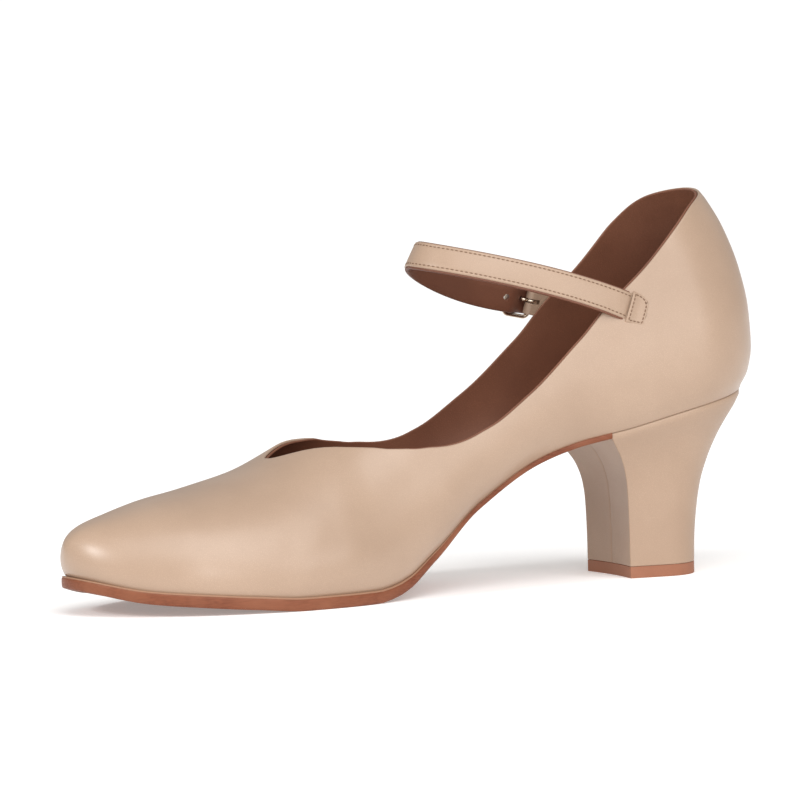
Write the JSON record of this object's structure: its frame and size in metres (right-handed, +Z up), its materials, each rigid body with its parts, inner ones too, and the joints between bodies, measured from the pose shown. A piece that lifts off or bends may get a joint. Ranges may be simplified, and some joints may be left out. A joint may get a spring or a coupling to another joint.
{
  "type": "character shoe",
  "caption": "Right-foot leather character shoe: low-cut pump with V throat, buckled instep strap, thin leather sole and covered flared heel.",
  "frame": {"origin": "on the floor under the middle of the shoe's box", "axes": "+X from toe to heel, +Y to the outer side of this right shoe, +Z up from the floor"},
  "size_m": [0.249, 0.0818, 0.1259],
  "materials": {
    "upper_leather": "smooth leather, soft satin gloss, tan",
    "strap_leather": "smooth leather, satin, stitched along both edges",
    "heel_cover": "smooth leather drawn tight over the heel, satin",
    "sole_leather": "brown sole leather, burnished edge",
    "lift_rubber": "brown, matt",
    "insole_lining": "lining leather, matt",
    "buckle_metal": "pale gilt, polished"
  },
  "bodies": {
    "root": {"upper": "upper_leather", "outsole": "sole_leather", "insole": "insole_lining", "heel_block": "heel_cover", "top_lift": "lift_rubber", "strap": "strap_leather", "buckle_tab": "strap_leather", "buckle_frame": "buckle_metal", "buckle_prong": "buckle_metal"}
  },
  "joints": []
}
